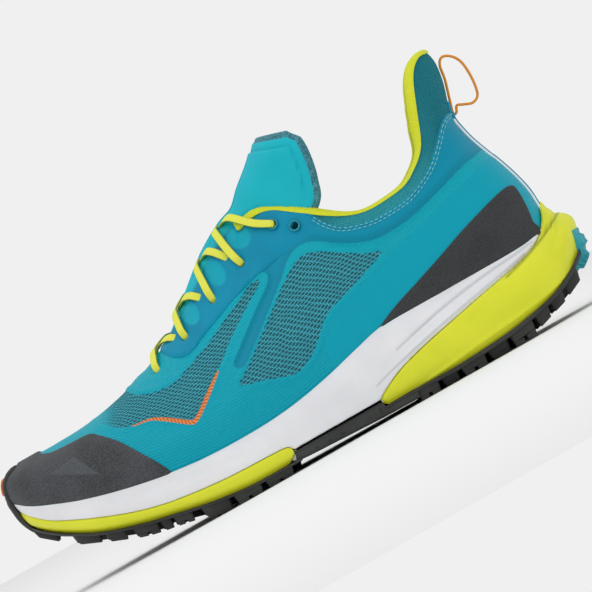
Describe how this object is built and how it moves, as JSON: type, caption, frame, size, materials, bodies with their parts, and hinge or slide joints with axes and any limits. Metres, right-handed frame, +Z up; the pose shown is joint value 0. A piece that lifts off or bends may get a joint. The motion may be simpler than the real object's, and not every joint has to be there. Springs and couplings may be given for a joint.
{
  "type": "trail running shoe",
  "caption": "Low trail running shoe for the left foot with a lugged sole, layered foam, a hollow laced upper, a padded tongue and a tall heel tab.",
  "frame": {"origin": "on the floor, under the middle of the shoe's box", "axes": "+X from the toe to the heel, +Y to the inner side of the foot, +Z up"},
  "size_m": [0.3008, 0.1122, 0.1452],
  "materials": {
    "outsole_rubber": "matt moulded rubber",
    "teal_rubber": "matt moulded rubber",
    "orange_rubber": "satin rubber",
    "white_foam": "satin moulded foam",
    "lime_foam": "satin moulded foam",
    "footbed_foam": "cloth over foam",
    "knit": "knit under a matt film",
    "lining": "padded knit",
    "tongue_cloth": "padded cloth",
    "dark_film": "textured film",
    "teal_film": "smooth film",
    "lace_cloth": "flat woven lace",
    "loop_cord": "braided cord"
  },
  "bodies": {
    "root": {"outsole": "outsole_rubber", "toe_tab": "orange_rubber", "heel_lug_insert": "teal_rubber", "midsole": "white_foam", "midsole_forefoot": "lime_foam", "midsole_heel": "lime_foam", "insole": "footbed_foam", "upper": "knit", "collar_lining": "lining", "tongue": "tongue_cloth", "toe_cap": "dark_film", "counter_outer": "dark_film", "counter_inner": "dark_film", "eyestay_outer": "teal_film", "eyestay_inner": "teal_film", "heel_tape": "teal_film", "lace_crossing_1": "lace_cloth", "lace_crossing_2": "lace_cloth", "lace_crossing_3": "lace_cloth", "lace_crossing_4": "lace_cloth", "pull_loop": "loop_cord"}
  },
  "joints": []
}
